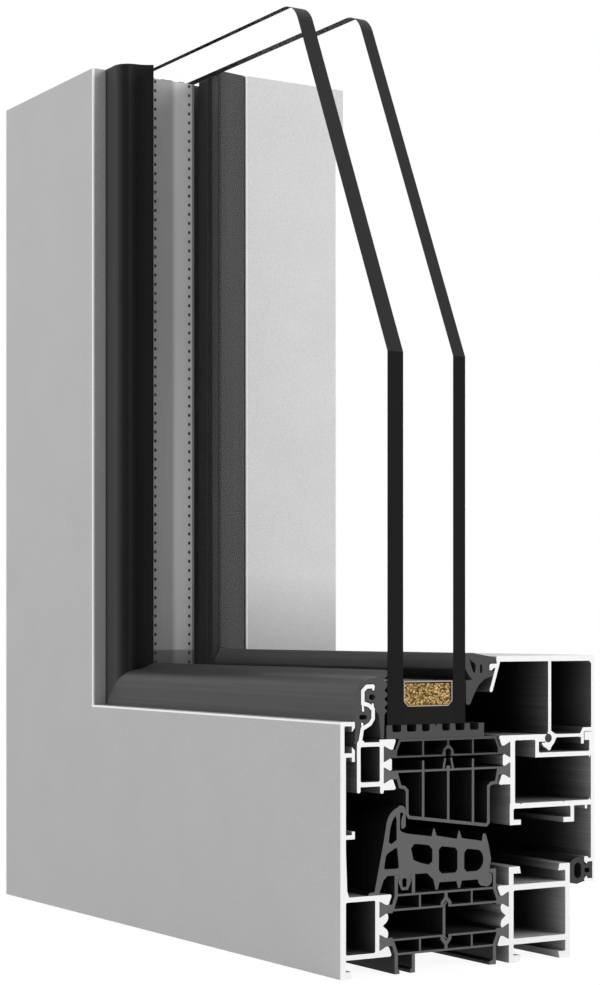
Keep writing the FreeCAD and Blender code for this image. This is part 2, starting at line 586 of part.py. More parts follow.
def central_gasket():
    """Hollow centre gasket, clipped between the upstands of the frame's upper strip."""
    deep, hold, top = DEEP_FACE, DRAWN_SPAN, central_top
    shell = SEAT - FRAME_LEG
    foot = -2.65
    ribs, legs = [], []
    for d in (12.5, 20.7):
        ribs += [(d - 0.75, top(d)), (d - 0.45, top(d) + 1.0), (d - 0.2, top(d) + 1.9),
                 ((d, top(d) + 2.1), (d + 0.2, top(d) + 1.9)), (d + 0.55, top(d) + 1.0),
                 (d + 0.9, top(d) + 0.1)]
    for d in (20.7, 13.4):
        legs += [(d + 0.9, foot), (d + 0.35, shell + 0.4), ((d, shell + 0.2), (d - 0.35, shell + 0.4)),
                 (d - 0.9, foot)]
    legs[-1] = (12.3, -1.7)
    body = drawn(
        (-8.3, shell), (-7.9, shell + 0.7), (-6.3, shell + 0.8), (-3.4, 9.0), (-2.6, 13.2),
        ((-1.5, 15.7), (0.9, 17.4)), ((2.5, 17.8), (deep - SEAT, 16.4)), (deep - SEAT, 13.0),
        ((deep - 0.4, 12.1), (deep - 1.35, 12.0)), (deep - 1.45, 13.6),
        (deep - 1.15, 14.9), (deep - 0.85, 15.5), ((deep - 1.3, 16.1), (deep - 1.85, 15.7)),
        (deep - 1.85, 11.6), (deep - 1.3, 11.1),
        (4.0, top(4.0)), *ribs,
        (hold - 3.7, top(hold - 3.7)), (hold - 3.4, top(hold - 3.4) + 1.7),
        ((hold - 2.9, top(hold - 3.4) + 2.0), (hold - 2.35, top(hold - 3.4) + 1.7)),
        (hold - 1.5, 6.5), (hold - 0.65, 2.6), (hold - 1.4, -0.9), (hold - 0.35, -1.6),
        (hold - 0.4, -3.2), ((hold - 1.0, shell + 0.5), (hold - 3.0, shell + 0.35)),
        ((hold - 4.4, shell + 0.75), (hold - 4.9, shell + 1.9)), (hold - 5.3, foot), *legs,
        (10.3, 0), (4.75, 0), (4.75, -0.85), (CLIP_WIDTH, -1.6),
        (4.2, shell + 0.8), (2.2, shell + 0.8), (STRIP_LEG + SEAT, -1.6), (STRIP_LEG + 0.6, -0.85),
        (STRIP_LEG + 0.6, 0), (-2.3, 0),
        (-3.5, -1.1), (-4.75, shell + 0.6), (-4.9, shell))
    return body.cut(central_hollows())


def central_hollows():
    """Chambers of the centre gasket."""
    hold, roof, low = DRAWN_SPAN, 2.4, -0.4

    def under(d):
        return (d, central_top(d, roof))

    leaf_upper = drawn((0.0, 15.1), (0.45, 15.2), (0.65, 14.2), (0.65, 9.1), (-1.0, 8.1), (-1.9, 8.6),
                       (-1.4, 12.0), (-0.8, 14.0))
    leaf_lower = drawn((0.3, 7.1), (0.8, 6.9), (1.35, 2.1), (1.1, 1.7), (-3.0, 1.7), (-3.3, 2.1),
                       (-2.8, 5.0), (-2.3, 5.7))
    root = drawn((2.35, -1.4), ((3.1, -0.85), (3.85, -1.4)), (3.75, -3.0), ((3.1, -3.3), (2.45, -3.0)))
    slanted = drawn(under(6.3), under(10.9), (12.05, 6.1), (12.0, 2.9), (10.8, 2.15), (8.0, 2.85), (5.9, 3.7),
                    (5.2, 6.7))
    middle = drawn((14.1, 5.9), under(15.0), under(19.4), (20.15, 5.3), (20.15, low + 0.8), (19.4, low),
                   (15.1, low), (14.1, low + 0.9))
    last = drawn((22.35, 4.6), under(23.3), under(hold - 4.6), ((hold - 3.2, 2.6), (hold - 5.6, low)),
                 (23.2, low), (22.35, low + 0.8))
    return [leaf_upper, leaf_lower, root, slanted, middle, last]


def rebate_gasket():
    """Hollow bulb between the frame's room face and the sash flange."""
    frame, mouth = FRAME_DEPTH + SEAT, SASH_FACE - 3.6
    base = FLANGE_END
    bulb = outline((frame, base - 0.05), (frame + 2.4, base - 0.5), (mouth - SEAT, base + 0.15),
                   (mouth - SEAT, base + 6.5), ((frame + 2.9, base + 6.9), (frame, base + 5.5)))
    root = outline((mouth - 0.3, base + 1.9), (mouth + 0.55, base + 1.85), (mouth + 1.25, base + 1.0),
                   (SASH_FACE - 0.8, base + 0.95), (SASH_FACE - 0.8, base + 5.4),
                   (mouth + 1.25, base + 5.4), (mouth + 0.75, base + 4.7), (mouth - 0.3, base + 4.8))
    hollow = wall(2.5, (frame + 2.75, base + 2.3), (frame + 2.75, base + 4.1), tips=True)
    root_hollow = rect(mouth + 0.1, base + 2.5, mouth + 1.8, base + 3.75)
    return union([bulb, root]).cut([hollow, root_hollow])


def outer_glazing_gasket():
    """Rounded outer gasket wrapped over the curled hook, toothed against the glass."""
    glass = GLASS_SETBACK - SEAT
    front = 4.5
    rim = FACE_WIDTH
    y, z = SASH_SETBACK, SASH_MID + 6.1
    inside = [(y + a, z + b) for a, b in HOOK_LINE[4:0:-1]]
    notches = []
    for level, depth in ((8.8, 0.9), (11.0, 0.9), (13.35, 0.9), (16.1, 1.5)):
        notches += [(glass, z + level - 0.9), (glass - depth, z + level), (glass, z + level + 0.9)]
    solid = outline(
        (front, rim + 0.1), (front, rim + 6.0), ((front + 0.95, rim + 9.0), (front + 3.4, rim + 10.85)),
        (front + 5.0, rim + 11.2), ((front + 7.8, rim + 11.9), (glass - 0.6, rim + 12.9)),
        (glass, rim + 13.3), *reversed(notches), (glass - 0.85, z + 7.0), (glass - 1.0, z + 0.75),
        (glass - 2.0, z + 0.75), (glass - 2.6, z + 7.0), (glass - 3.3, z + 7.7), *inside,
        (y + 0.95, z + 0.5), (y - SEAT, z + 0.4), (y - 0.35, z - 0.6),
        ((y - 0.6, z - 0.45), (y - 0.6, z + 0.1)), (y - 0.45, z + 4.4), (y - 0.5, z + 5.3))
    voids = [wall(1.25, (y + 1.3, z + 6.45), (y + 2.5, z + 6.45), tips=True),
             wall(1.5, (y + 4.5, z + 11.6), (y + 4.8, z + 11.6), tips=True)]
    gasket = solid.cut([gasket_hook(HOOK_CLEARANCE)] + voids)
    return max(gasket.Faces, key=lambda face: face.Area)


def inner_glazing_gasket():
    """Wedge gasket between the inner pane and the bead, with a lip down the glass."""
    glass = GLASS_BACK + SEAT
    bead = GLASS_BACK + BEAD_SETBACK - SEAT
    top = BEAD_TOP
    solid = outline(
        (glass, top + 0.9), (glass + 2.4, top + 0.85), (bead - 1.3, top - 0.25),
        ((bead - 0.45, top - 0.55), (bead - 0.15, top - 1.3)), (bead - 0.15, top - 1.9 - SEAT),
        (bead - 2.4, top - 1.9 - SEAT), (bead - 2.4, top - 3.9), (bead - 0.65, top - 4.15),
        (bead - 1.0, top - 5.3),
        (bead - 3.9, top - 6.2), (bead - 5.7, top - 7.6), (bead - 6.8, top - 9.2), (bead - 7.8, top - 11.0),
        (bead - 8.7, top - 12.9), (glass + 0.6, top - 12.95), (glass + 0.2, top - 12.4),
        (glass + 0.2, top - 7.3), (glass, top - 6.5), (glass + 2.3, top - 6.25), (glass + 1.1, top - 5.0),
        (glass, top - 3.4))
    slits = [outline((glass + 1.25, top - 0.5), (glass + 2.2, top - 1.4), (glass + 3.1, top - 1.8),
                     (glass + 3.45, top - 2.7), (glass + 3.25, top - 4.4), (glass + 2.75, top - 4.5),
                     (glass + 2.1, top - 3.2)),
             wall(0.75, (glass + 5.2, top - 2.55), (glass + 5.2, top - 4.2), tips=True)]
    return solid.cut(slits + [bead_leg(SEAT)])


def setting_strip():
    """Toothed strip under the glass."""
    left, right = GLASS_SETBACK - 0.25, GLASS_BACK + 6.2
    middle = (left + right) / 2
    low = SASH_TOP + SEAT
    parts = [rect(left, low, right, low + SETTING_BASE)]
    edge = (right - left) / 2
    for offset, width in ((0, 4.0), (5.4, 1.8), (10.2, 1.75), (edge - 0.9, 1.8)):
        for side in (-1, 1):
            y = middle + side * offset
            parts.append(rect(y - width / 2, low, y + width / 2, GLASS_EDGE - SEAT))
            for foot in (y - width / 2, y + width / 2):
                parts.append(outline((foot - 0.4, low + SETTING_BASE), (foot + 0.4, low + SETTING_BASE),
                                     (foot, low + SETTING_BASE + 0.4)))
    slit = rect(middle - 0.2, GLASS_EDGE - 0.6, middle + 0.2, GLASS_EDGE)
    body = union(parts).cut(slit)
    return body.common(rect(left, low, right, GLASS_EDGE))


def spacer_outline(inset=0.0):
    left, right = GAP_FACE + SEALANT_FILM + inset, INNER_GLASS - SEALANT_FILM - inset
    low, high = GLASS_EDGE + SPACER_RISE + inset, GLASS_EDGE + SPACER_RISE + SPACER_HEIGHT - inset
    cut = SPACER_CHAMFER - inset * 0.6
    return outline((left, high), (left, low + cut), (left + cut, low), (right - cut, low),
                   (right, low + cut), (right, high))


def spacer_bar():
    return spacer_outline().cut(spacer_outline(SPACER_WALL))


def desiccant():
    return spacer_outline(SPACER_WALL)


def bottom_member(section, length=BOTTOM_LENGTH):
    """The section run along x, mitred where x equals z and cut square at its end."""
    reach = SASH_FACE + 1
    corner = [(-1, -1), (length + 1, -1), (length + 1, length + 1)]
    ring = Part.makePolygon([Vector(x, -1, z) for x, z in corner + corner[:1]])
    wedge = Part.Face(ring).extrude(Vector(0, reach + 1, 0))
    bar = section.Faces[0].extrude(Vector(length, 0, 0))
    return bar.common(wedge).Solids[0]


def upright_member(section, height=UPRIGHT_HEIGHT):
    return bottom_member(section, height).mirror(Vector(0, 0, 0), Vector(1, 0, -1))


def round_the_corner(section):
    """One piece bent round the corner, cut off short of the upright member's top."""
    base = bottom_member(section, BOTTOM_LENGTH + SPACER_LEAN)
    leg = upright_member(section, UPRIGHT_HEIGHT - SPACER_DROP)
    return base.fuse(leg).removeSplitter().Solids[0].translated(Vector(-SPACER_LEAN, 0, 0))


def edge_sealant():
    """Sealant that fills the gap from the glass edge to the spacer's face."""
    low, high = GLASS_EDGE, GLASS_EDGE + SPACER_RISE + SPACER_HEIGHT - 0.4
    side, top = high - SPACER_LEAN, UPRIGHT_HEIGHT - SPACER_DROP
    corners = [(low, low), (BOTTOM_LENGTH, low), (BOTTOM_LENGTH, high), (side, high), (side, top), (low, top)]
    ring = Part.makePolygon([Vector(x, GAP_FACE, z) for x, z in corners + corners[:1]])
    body = Part.Face(ring).extrude(Vector(0, PANE_GAP, 0))
    return body.cut(round_the_corner(spacer_outline())).Solids[0]


def pane(face, thickness):
    """Pane with its free edge cut back above the step, as an open sample shows it."""
    slope_top = BOTTOM_LENGTH - GLASS_SLOPE_RUN
    top = UPRIGHT_HEIGHT - PANE_DROP
    corners = [(GLASS_EDGE, GLASS_EDGE), (BOTTOM_LENGTH, GLASS_EDGE), (BOTTOM_LENGTH, GLASS_STEP),
               (slope_top, top), (GLASS_EDGE, top)]
    ring = Part.makePolygon([Vector(x, face, z) for x, z in corners + corners[:1]])
    plate = Part.Face(ring).extrude(Vector(0, thickness, 0))
    apex = [edge for edge in plate.Edges
            if all(math.hypot(v.X - slope_top, v.Z - top) < 0.01 for v in edge.Vertexes)]
    return plate.makeFillet(GLASS_APEX_RADIUS, apex)


def to_origin(shape):
    """Origin under the middle of the sample."""
    return shape.translated(Vector(-BOTTOM_LENGTH / 2, -SASH_FACE / 2, 0))


MITRED = {
    "frame_outer_shell": frame_outer_shell,
    "frame_inner_shell": frame_inner_shell,
    "frame_upper_strip": lambda: frame_strip(1),
    "frame_lower_strip": lambda: frame_strip(-1),
    "frame_divider": frame_divider,
    "sash_outer_shell": sash_outer_shell,
    "sash_inner_shell": sash_inner_shell,
    "sash_upper_strip": sash_upper_strip,
    "sash_lower_strip": sash_lower_strip,
    "glazing_bead": glazing_bead,
    "bead_cord": bead_cord,
    "central_gasket": central_gasket,
    "rebate_gasket": rebate_gasket,
    "outer_glazing_gasket": outer_glazing_gasket,
    "inner_glazing_gasket": inner_glazing_gasket,
    "setting_strip": setting_strip,
}

BENT = {
    "spacer_bar": spacer_bar,
    "desiccant_fill": desiccant,
}


def build():
    """Every piece of the sample by node name."""
    pieces = {}
    for name, section in MITRED.items():
        face = section()
        pieces[name + "_bottom"] = bottom_member(face)
        pieces[name + "_upright"] = upright_member(face)
    for name, section in BENT.items():
        pieces[name] = round_the_corner(section())
    pieces["edge_sealant"] = edge_sealant()
    pieces["outer_pane"] = pane(GLASS_SETBACK, OUTER_PANE)
    pieces["inner_pane"] = pane(INNER_GLASS, INNER_PANE)
    return pieces


os.makedirs("parts", exist_ok=True)
for node, shape in build().items():
    to_origin(shape).exportStep("parts/" + node + ".step")
    print(node, len(shape.Solids), round(shape.Volume), shape.isValid())
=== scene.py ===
import bpy, bmesh, math, random
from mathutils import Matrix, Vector


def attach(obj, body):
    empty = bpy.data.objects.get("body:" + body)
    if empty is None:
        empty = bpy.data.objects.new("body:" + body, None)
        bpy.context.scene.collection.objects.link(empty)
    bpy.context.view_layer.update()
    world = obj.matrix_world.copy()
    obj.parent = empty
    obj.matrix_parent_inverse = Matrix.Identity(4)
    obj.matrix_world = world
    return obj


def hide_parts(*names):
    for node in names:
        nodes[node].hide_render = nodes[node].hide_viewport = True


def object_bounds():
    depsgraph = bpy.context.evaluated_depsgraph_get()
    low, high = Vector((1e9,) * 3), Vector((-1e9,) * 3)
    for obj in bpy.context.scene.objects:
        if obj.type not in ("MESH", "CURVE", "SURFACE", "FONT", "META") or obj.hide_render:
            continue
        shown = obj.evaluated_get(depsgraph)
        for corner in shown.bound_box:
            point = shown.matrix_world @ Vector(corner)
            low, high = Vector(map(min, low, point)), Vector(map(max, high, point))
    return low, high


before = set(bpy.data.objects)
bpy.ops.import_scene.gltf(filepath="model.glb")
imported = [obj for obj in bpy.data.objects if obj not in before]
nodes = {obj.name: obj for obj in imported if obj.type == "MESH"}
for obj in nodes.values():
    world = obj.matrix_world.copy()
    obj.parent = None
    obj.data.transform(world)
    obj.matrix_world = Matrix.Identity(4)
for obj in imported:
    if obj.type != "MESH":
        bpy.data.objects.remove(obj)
cad_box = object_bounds()
MM = 0.001

# Sizes, in mm. The frame gives the bottom member's length, the depth from the outer face to the
# room face of the sash, and the upright member's height.
LENGTH, DEPTH, HEIGHT = (round((high - low) / MM, 2) for low, high in zip(*cad_box))
GAP_FACE = 19.55            # outer face to the gap between the panes
GAP = 16.0
FACE_REACH = 0.04           # how far inside a cut face a point still counts as on it

# Spacer, with its section across the depth and up from the outer edge of the bottom member
SPACER_LEFT, SPACER_RIGHT = 19.75, 35.35
SPACER_LOW, SPACER_HIGH = 69.9, 76.6
SPACER_LEAN = 3.3           # upright leg of the spacer nearer to the glass edge
CORE_TOP = 263.5            # cut end of the spacer and its filling on the upright
LEGS = ((False, LENGTH), (True, CORE_TOP))     # upright or not, and the cut end
CHAMFER = 1.35
CHAMFER_LOSS = 0.6          # what the chamfer loses on a line set in from the outside, per mm
WALL = 0.3
HOLE_PITCH = 2.905
HOLE_REACH = (0.44, 0.56)   # half the holes' size across and along
HOLE_START = 0.86           # end of a leg to its first hole
HOLE_ROWS = (21.5, 33.6)
HOLE_DEPTH = 0.24
HOLE_TAPER = 0.96           # size of a hole's foot as a share of its rim
HOLE_SIDES = 12

# Desiccant beads at the cut ends
BEAD_STEP = 0.5
ROW_SHARE = 0.87            # height of a row as a share of the step
ROW_MARGINS = (0.28, 0.26)  # lowest and highest row from the spacer's walls
SIDE_MARGINS = (0.3, 0.28)  # first and last bead of a row from them
CHAMFER_MARGIN = 0.24       # how far the rows may reach into the chamfers
BEAD_SIZES = (0.21, 0.31)   # smallest and largest radius
BEAD_SQUASH = (0.8, 1.1)    # least and most stretch of a bead along each axis
ACROSS_SHIFT, RISE_SHIFT, DEPTH_SHIFT = (-0.08, 0.08), (-0.07, 0.07), (-0.1, 0.12)
LAYER_DEPTHS = (0.62, 0.33)     # cut end to the middles of the beads
END_CLEARANCE = 0.02        # cut end to the nearest bead
CORE_RECESS = 0.55          # cut end to the core behind the beads
CORE_GAP = 0.03             # core to the spacer's wall

# Camera, fitted to the photograph
camera_data = bpy.data.cameras.new("camera")
camera = bpy.data.objects.new("camera", camera_data)
bpy.context.scene.collection.objects.link(camera)
camera.location = (0.5741, -0.34285, 0.09127)
camera.rotation_euler = (math.radians(90), 0, math.radians(58.37))
camera_data.lens = 79.23
camera_data.sensor_width = 36
camera_data.shift_x = -0.0004
camera_data.shift_y = 0.1347
camera_data.clip_start = 0.01
camera_data.clip_end = 20
bpy.context.scene.camera = camera
bpy.context.scene.view_settings.view_transform = "Standard"


# Node helpers
MIDDLE, WIDE, NARROW = (0.25, 0.75), (0.2, 0.8), (0.3, 0.7)    # ranges of a pattern's values


def put(socket, value):
    """Link a socket to an input, or set its number or colour."""
    if isinstance(value, bpy.types.NodeSocket):
        socket.id_data.links.new(value, socket)
    elif isinstance(value, tuple) and socket.type == "RGBA":
        socket.default_value = (*value, 1)
    else:
        socket.default_value = value


def add(tree, kind, props=None, **inputs):
    """A node with its settings and its inputs by name; underscores stand for spaces."""
    made = tree.nodes.new(kind)
    for key, value in (props or {}).items():
        setattr(made, key, value)
    for key, value in inputs.items():
        put(made.inputs[key.replace("_", " ")], value)
    return made


def calc(tree, operation, *values):
    """A Math node's result."""
    made = tree.nodes.new("ShaderNodeMath")
    made.operation = operation
    for socket, value in zip(made.inputs, values):
        put(socket, value)
    return made.outputs[0]


def times(tree, total, *values):
    """The product of values, which for masks is where all of them hold."""
    for value in values:
        total = calc(tree, "MULTIPLY", total, value)
    return total


def above(tree, value, limit):
    """1 where value is over limit."""
    return calc(tree, "GREATER_THAN", value, limit)


def below(tree, value, limit):
    """1 where value is under limit."""
    return calc(tree, "LESS_THAN", value, limit)


def any_of(tree, masks):
    """1 where any of the masks holds."""
    total = masks[0]
    for mask in masks[1:]:
        total = calc(tree, "MAXIMUM", total, mask)
    return total


def blend(tree, share, first, second, how="MIX"):
    """first and second, numbers or colours, mixed by share."""
    colour = isinstance(first, tuple) or isinstance(second, tuple) or any(
        isinstance(v, bpy.types.NodeSocket) and v.type == "RGBA" for v in (first, second))
    made = tree.nodes.new("ShaderNodeMix")
    made.data_type = "RGBA" if colour else "FLOAT"
    if colour:
        made.blend_type = how
    sockets = [s for s in made.inputs if s.enabled]
    for socket, value in zip(sockets, (share, first, second)):
        put(socket, value)
    return [s for s in made.outputs if s.enabled][0]


def spread(tree, value, low, high, to_low=0.0, to_high=1.0):
    """value taken from low..high to to_low..to_high, clamped."""
    made = tree.nodes.new("ShaderNodeMapRange")
    for key, number in (("Value", value), ("From Min", low), ("From Max", high),
                        ("To Min", to_low), ("To Max", to_high)):
        put(made.inputs[key], number)
    return made.outputs["Result"]


def vary(tree, pattern, tone, share):
    """A tone that a pattern makes lower and higher by up to a share of it."""
    return spread(tree, pattern, *MIDDLE, tone * (1 - share), tone * (1 + share))


def peak(tree, value, middle, half):
    """1 where value is middle, falling to 0 half away from it."""
    away = calc(tree, "ABSOLUTE", calc(tree, "SUBTRACT", value, middle))
    return spread(tree, away, 0.0, half, 1.0, 0.0)


def vector_step(tree, operation, vector, by):
    """A vector multiplied by or added to another."""
    made = add(tree, "ShaderNodeVectorMath", {"operation": operation})
    put(made.inputs[0], vector)
    put(made.inputs[1], by)
    return made.outputs[0]


def noise(tree, vector, scale, detail, stretch=None):
    """Noise over a vector in mm; stretch squeezes the vector first."""
    if stretch:
        vector = vector_step(tree, "MULTIPLY", vector, stretch)
    made = add(tree, "ShaderNodeTexNoise", Vector=vector, Scale=scale, Detail=detail)
    return made.outputs["Fac"]


def grey(tree, tone):
    """A grey colour of a tone."""
    return add(tree, "ShaderNodeCombineColor", Red=tone, Green=tone, Blue=tone).outputs[0]


def mix_shaders(tree, share, first, second):
    """Two shaders mixed by share."""
    made = tree.nodes.new("ShaderNodeMixShader")
    for socket, value in zip(made.inputs, (share, first, second)):
        put(socket, value)
    return made.outputs[0]


def section_group():
    """Where a point lies, in mm: across the depth, rise from the outer edge, along the member and
    inward from its cut end. Cut is 1 on the two cut faces, and Upright on the upright member.
    Place is across, rise and along as a vector, and Level is the point in the part's frame."""
    group = bpy.data.node_groups.new("section", "ShaderNodeTree")
    point = add(group, "ShaderNodeTexCoord").outputs["Object"]
    level = add(group, "ShaderNodeVectorMath", {"operation": "SCALE"}, Vector=point, Scale=1 / MM)
    parts = add(group, "ShaderNodeSeparateXYZ", Vector=level.outputs[0])
    side = calc(group, "ADD", parts.outputs[0], LENGTH / 2)
    across = calc(group, "ADD", parts.outputs[1], DEPTH / 2)
    up = parts.outputs[2]
    rise = calc(group, "MINIMUM", side, up)
    along = calc(group, "MAXIMUM", side, up)
    cut = any_of(group, [above(group, side, LENGTH - FACE_REACH), above(group, up, HEIGHT - FACE_REACH)])
    upright = above(group, up, side)
    inward = calc(group, "SUBTRACT", blend(group, upright, LENGTH, HEIGHT), along)
    place = add(group, "ShaderNodeCombineXYZ", X=across, Y=rise, Z=along)
    numbers = {"Across": across, "Rise": rise, "Along": along, "Inward": inward, "Cut": cut,
               "Upright": upright}
    vectors = {"Place": place.outputs[0], "Level": level.outputs[0]}
    for kind, results in (("Float", numbers), ("Vector", vectors)):
        for name in results:
            group.interface.new_socket(name, in_out="OUTPUT", socket_type="NodeSocket" + kind)
    out = group.nodes.new("NodeGroupOutput")
    for name, socket in (numbers | vectors).items():
        put(out.inputs[name], socket)
    return group


SECTION = section_group()


def boxes(tree, at, ranges):
    """1 inside any of the section's rectangles, given as across low, high, rise low, high."""
    def within(value, low, high):
        return times(tree, above(tree, value, low), below(tree, value, high))

    return any_of(tree, [times(tree, within(at["Across"], a, b), within(at["Rise"], c, d))
                         for a, b, c, d in ranges])


def start(name):
    """A new material with its tree, its shader and the results of the section group."""
    material = bpy.data.materials.new(name)
    material.use_nodes = True
    tree = material.node_tree
    tree.nodes.clear()
    shader = tree.nodes.new("ShaderNodeBsdfPrincipled")
    out = tree.nodes.new("ShaderNodeOutputMaterial")
    tree.links.new(shader.outputs[0], out.inputs["Surface"])
    where = tree.nodes.new("ShaderNodeGroup")
    where.node_tree = SECTION
    return material, tree, shader, where.outputs


def surface(shader, colour, rough, gloss, height=None, depth=0.0, strength=0.0):
    """Set a shader's colour, roughness, specular level and, from a height pattern, its relief,
    with the depth in mm."""
    put(shader.inputs["Base Color"], colour)
    put(shader.inputs["Roughness"], rough)
    put(shader.inputs["Specular IOR Level"], gloss)
    if height:
        bump = add(shader.id_data, "ShaderNodeBump", Height=height, Distance=depth * MM,
                   Strength=strength)
        put(shader.inputs["Normal"], bump.outputs["Normal"])


def saw_lines(tree, at):
    """Fine curved lines that a saw leaves on a cut face."""
    saw_centre = (-80.0, -190.0, 150.0)
    wave = add(tree, "ShaderNodeTexWave",
               {"wave_type": "RINGS", "rings_direction": "SPHERICAL", "wave_profile": "SIN"},
               Vector=vector_step(tree, "ADD", at["Level"], saw_centre),
               Scale=0.55, Distortion=1.2, Detail=3.0, Detail_Scale=0.6)
    fine = noise(tree, at["Level"], scale=1.7, detail=3.0)
    return calc(tree, "ADD", times(tree, wave.outputs["Fac"], 0.6), times(tree, fine, 0.4))


# Materials
COAT = 0.45
CUT_METAL = 0.765
LIT_DEPTH = 22.0            # depth inside a profile at which the painted shade on its walls is darkest, in mm
DEEP_LIGHT = 0.25           # share of a wall's tone that the painted shade leaves there
OPEN_GAIN, CLOSED_GAIN = 2.7, 3.3      # and the painted light added to it at the cut end
GLASS_SHINE = 0.06          # share of plain glass's reflection that the coated panes keep
SHADOW_GLASS = (0.45, 0.45, 0.45)      # light that a pane lets through to what lies behind it
EDGE_TURN = 0.6             # how much a pane's large faces look along the depth, at least
CUT_SPACER = (0.37, 0.30, 0.235)


def aluminium(name, coated, chambers, inside, plain, edges=(), gloss=0.3, shade=None):
    """Extruded aluminium: coated where it shows, plain with die lines elsewhere, with painted shade
    that darkens the bare walls with the depth inside, bright on the cut faces, and with a painted
    highlight along the coating's glazing edges. inside and plain are the tones of closed chambers and
    of the other bare walls, set dark as painted shade. shade gives a factor of painted light on the
    coating's tone from a tree and the section group's results."""
    material, tree, shader, at = start(name)
    grain = noise(tree, at["Level"], scale=2.1, detail=3.0)
    cloud = noise(tree, at["Level"], scale=0.05, detail=2.0)
    die = noise(tree, at["Place"], scale=1.0, detail=2.0, stretch=(2.2, 2.2, 0.012))
    saw = saw_lines(tree, at)
    coat_mask = boxes(tree, at, coated)
    coat_tone = calc(tree, "ADD", vary(tree, grain, COAT, share=0.115),
                     spread(tree, cloud, *NARROW, -0.008, 0.008))
    # Painted light and shade on the coating, where a shade factor is given
    if shade:
        coat_tone = times(tree, coat_tone, shade(tree, at))
    # Painted light and shade: bare walls are painted brighter near the cut end and darker with the depth
    # inside
    near = spread(tree, at["Inward"], 0.0, LIT_DEPTH, 1.0, 0.0)
    near = times(tree, near, near)
    painted_open_light = calc(tree, "MULTIPLY_ADD", near, OPEN_GAIN, DEEP_LIGHT)
    painted_closed_light = calc(tree, "MULTIPLY_ADD", near, CLOSED_GAIN, DEEP_LIGHT)
    bare_tone = blend(tree, boxes(tree, at, chambers),
                      times(tree, painted_open_light, vary(tree, die, plain, share=0.25)),
                      times(tree, painted_closed_light, vary(tree, die, inside, share=0.15)))
    long_tone = blend(tree, coat_mask, bare_tone, coat_tone)
    # Painted highlight: a pale tone along the coating's rounded glazing edges
    if edges:
        edge_highlight = spread(tree, grain, *MIDDLE, 0.9, 1.0)
        long_tone = blend(tree, boxes(tree, at, edges), long_tone, edge_highlight)
    cut_tone = spread(tree, saw, *WIDE, CUT_METAL * 0.965, CUT_METAL * 1.03)
    long_rough = blend(tree, coat_mask, spread(tree, die, *WIDE, 0.38, 0.52),
                       spread(tree, grain, *WIDE, 0.44, 0.56))
    rough = blend(tree, at["Cut"], long_rough, spread(tree, saw, *WIDE, 0.36, 0.5))
    long_height = blend(tree, coat_mask, times(tree, die, 1.3), times(tree, grain, 0.7))
    height = blend(tree, at["Cut"], long_height, saw)
    surface(shader, grey(tree, blend(tree, at["Cut"], long_tone, cut_tone)), rough, gloss,
            height=height, depth=0.02, strength=0.5)
    return material


def plastic(name, cut_tone, long_tone, speckle):
    """Drawn plastic: lengthwise lines, with paler flecks of fibre on the cut faces."""
    material, tree, shader, at = start(name)
    lines = noise(tree, at["Place"], scale=1.0, detail=3.0, stretch=(2.5, 2.5, 0.015))
    fleck = noise(tree, at["Level"], scale=5.0, detail=3.0)
    cloud = noise(tree, at["Level"], scale=0.35, detail=2.0)
    cut = times(tree, vary(tree, fleck, cut_tone, share=speckle),
                spread(tree, cloud, *NARROW, 0.95, 1.05))
    tone = blend(tree, at["Cut"], vary(tree, lines, long_tone, share=0.2), cut)
    rough = blend(tree, at["Cut"], spread(tree, lines, *WIDE, 0.42, 0.58), 0.62)
    surface(shader, grey(tree, tone), rough, gloss=0.2,
            height=blend(tree, at["Cut"], lines, fleck), depth=0.02, strength=0.5)
    return material


def rubber(name, cut_tone, long_tone, rough=0.5, gloss=0.14):
    """Extruded rubber: satin along its length, dull on the cut faces. long_tone is a number, or
    gives the tone from a tree and the section group's results."""
    material, tree, shader, at = start(name)
    draw = noise(tree, at["Place"], scale=1.0, detail=3.0, stretch=(1.4, 1.4, 0.01))
    skin = noise(tree, at["Level"], scale=3.2, detail=3.0)
    long = long_tone(tree, at) if callable(long_tone) else long_tone
    long = times(tree, long, vary(tree, draw, 1.0, share=0.12), vary(tree, skin, 1.0, share=0.025))
    tone = blend(tree, at["Cut"], long, vary(tree, skin, cut_tone, share=0.14))
    roughness = blend(tree, at["Cut"], spread(tree, skin, *WIDE, rough - 0.03, rough + 0.03), 0.75)
    height = blend(tree, at["Cut"], calc(tree, "MULTIPLY_ADD", skin, 0.1, draw), skin)
    surface(shader, grey(tree, tone), roughness, gloss, height=height, depth=0.02, strength=0.4)
    return material


def outer_gasket_painted_light(tree, at):
    """Painted light on the outer gasket. On the upright its rolled top is painted darker than its
    front as painted shade, with a faint painted highlight on the crest. On the bottom member it is
    painted paler, with a painted highlight line along it and painted shadow towards the corner. The
    notches on the glass are painted dark as painted shade."""
    rise, along = at["Rise"], at["Along"]
    notch_side, notch_top, notch_shade_tone, crest_highlight_tone = 12.9, 77.75, 0.008, 0.016
    crest_highlight = peak(tree, rise, middle=77.05, half=0.35)
    upright = calc(tree, "MULTIPLY_ADD", crest_highlight, crest_highlight_tone, spread(tree, rise, 73.5, 75.9, 0.052, 0.0135))
    corner_shadow_share = spread(tree, along, 110, 205, 0.4, 0.85)
    bottom = times(tree, spread(tree, rise, 74.0, 76.5, 0.085, 0.104),
                   spread(tree, rise, 75.4, 76.9, 1.0, corner_shadow_share))
    highlight_share = spread(tree, along, 130, 205, 0.0, 0.6)
    line = calc(tree, "MULTIPLY_ADD", peak(tree, rise, middle=notch_top, half=0.3), highlight_share, 1.0)
    tone = blend(tree, at["Upright"], times(tree, bottom, line), upright)
    notch = times(tree, above(tree, at["Across"], notch_side), below(tree, rise, notch_top))
    return blend(tree, notch, tone, notch_shade_tone)


